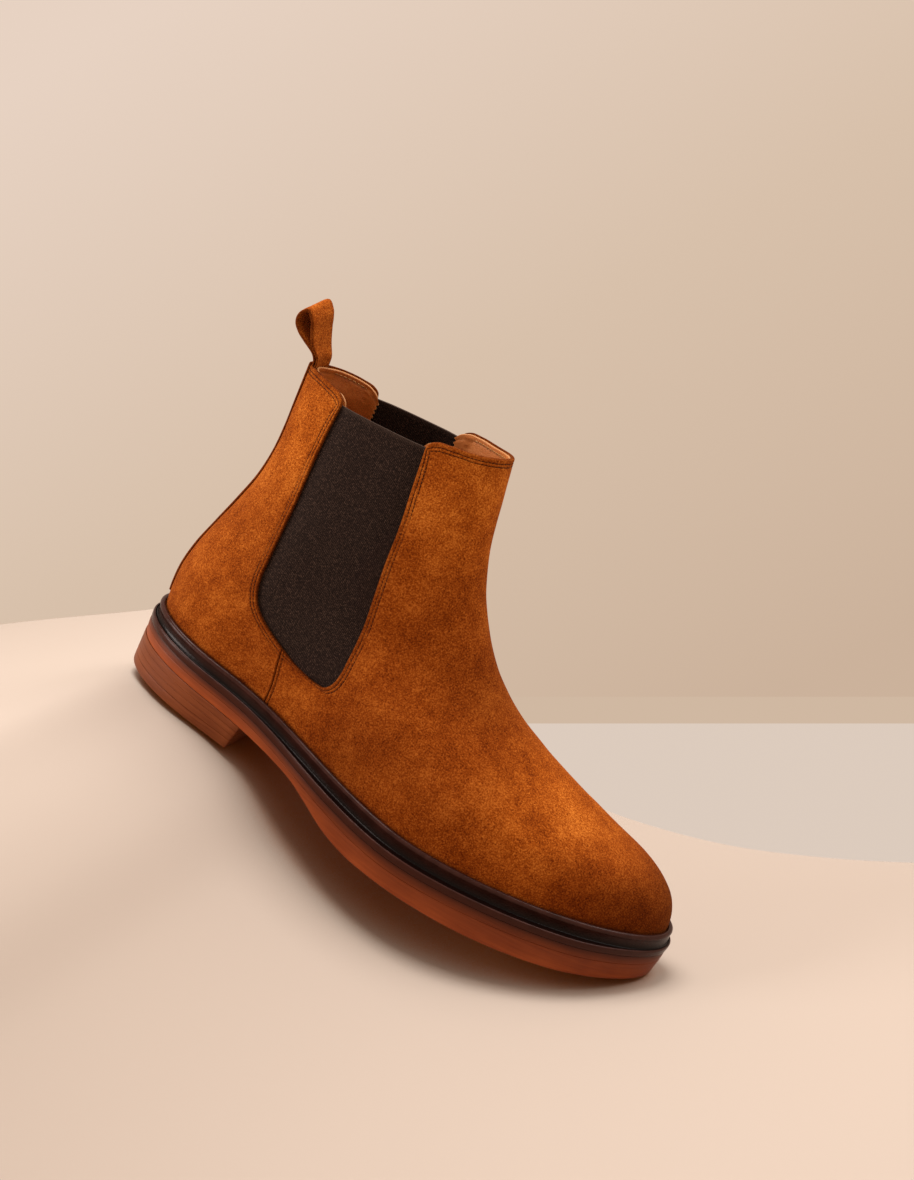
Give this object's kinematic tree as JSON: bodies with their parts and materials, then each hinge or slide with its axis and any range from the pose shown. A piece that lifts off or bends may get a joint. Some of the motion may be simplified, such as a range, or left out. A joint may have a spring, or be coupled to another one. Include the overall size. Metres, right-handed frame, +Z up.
{
  "type": "chelsea boot",
  "caption": "Ankle-high pull-on boot with elastic side gores, a welted sole, a stacked heel and a pull loop at the back.",
  "frame": {"origin": "on the floor, at the middle of the boot's box in plan", "axes": "+X to the toe, along the longest side; +Y to the medial side; +Z up"},
  "size_m": [0.3052, 0.107, 0.2052],
  "materials": {
    "suede": "tan suede with a brushed nap",
    "lining": "smooth tan lining leather",
    "gore": "dark brown woven elastic",
    "board": "pressed leather board",
    "foam": "soft latex foam",
    "cork": "granulated cork",
    "steel": "spring steel",
    "welt": "dark brown polished welt with a raised bead",
    "midsole": "red-brown waxed leather edge",
    "outsole": "red-brown glossy rubber",
    "heel": "red-brown stacked heel"
  },
  "bodies": {
    "boot": {"vamp": "suede", "quarter_lateral": "suede", "quarter_medial": "suede", "back_strip_lower": "suede", "vamp_lining": "lining", "heel_lining": "lining", "heel_counter": "board", "toe_puff": "board", "gore_lateral": "gore", "gore_medial": "gore", "welt": "welt", "insole_rib": "board", "insole_board": "board", "heel_pad": "foam", "sock_liner": "lining", "shank": "steel", "cork_filler": "cork", "midsole": "midsole", "outsole": "outsole", "heel_lift_1": "heel", "heel_lift_2": "heel", "heel_lift_3": "heel", "heel_top_piece": "heel", "heel_nail_1": "steel", "heel_nail_2": "steel", "heel_nail_3": "steel", "heel_nail_4": "steel", "heel_nail_5": "steel"},
    "rear_collar": {"collar_lateral": "suede", "collar_medial": "suede", "back_strip_upper": "suede", "collar_lining": "lining"},
    "pull_loop": {"pull_loop": "suede"}
  },
  "joints": [
    {"name": "shaft_opening", "type": "hinge", "parent": "boot", "child": "rear_collar", "pos_m": [-0.14245, 0.00306, 0.094], "axis": [0, -1, 0], "range_deg": [0, 15], "stiffness_Nm_per_rad": 3, "deforming": ["gore_lateral", "gore_medial"]},
    {"name": "pull_loop_bend", "type": "hinge", "parent": "rear_collar", "child": "pull_loop", "pos_m": [-0.13335, 0.00306, 0.1817], "axis": [0, 1, 0], "range_deg": [-35, 80], "stiffness_Nm_per_rad": 0.01}
  ]
}
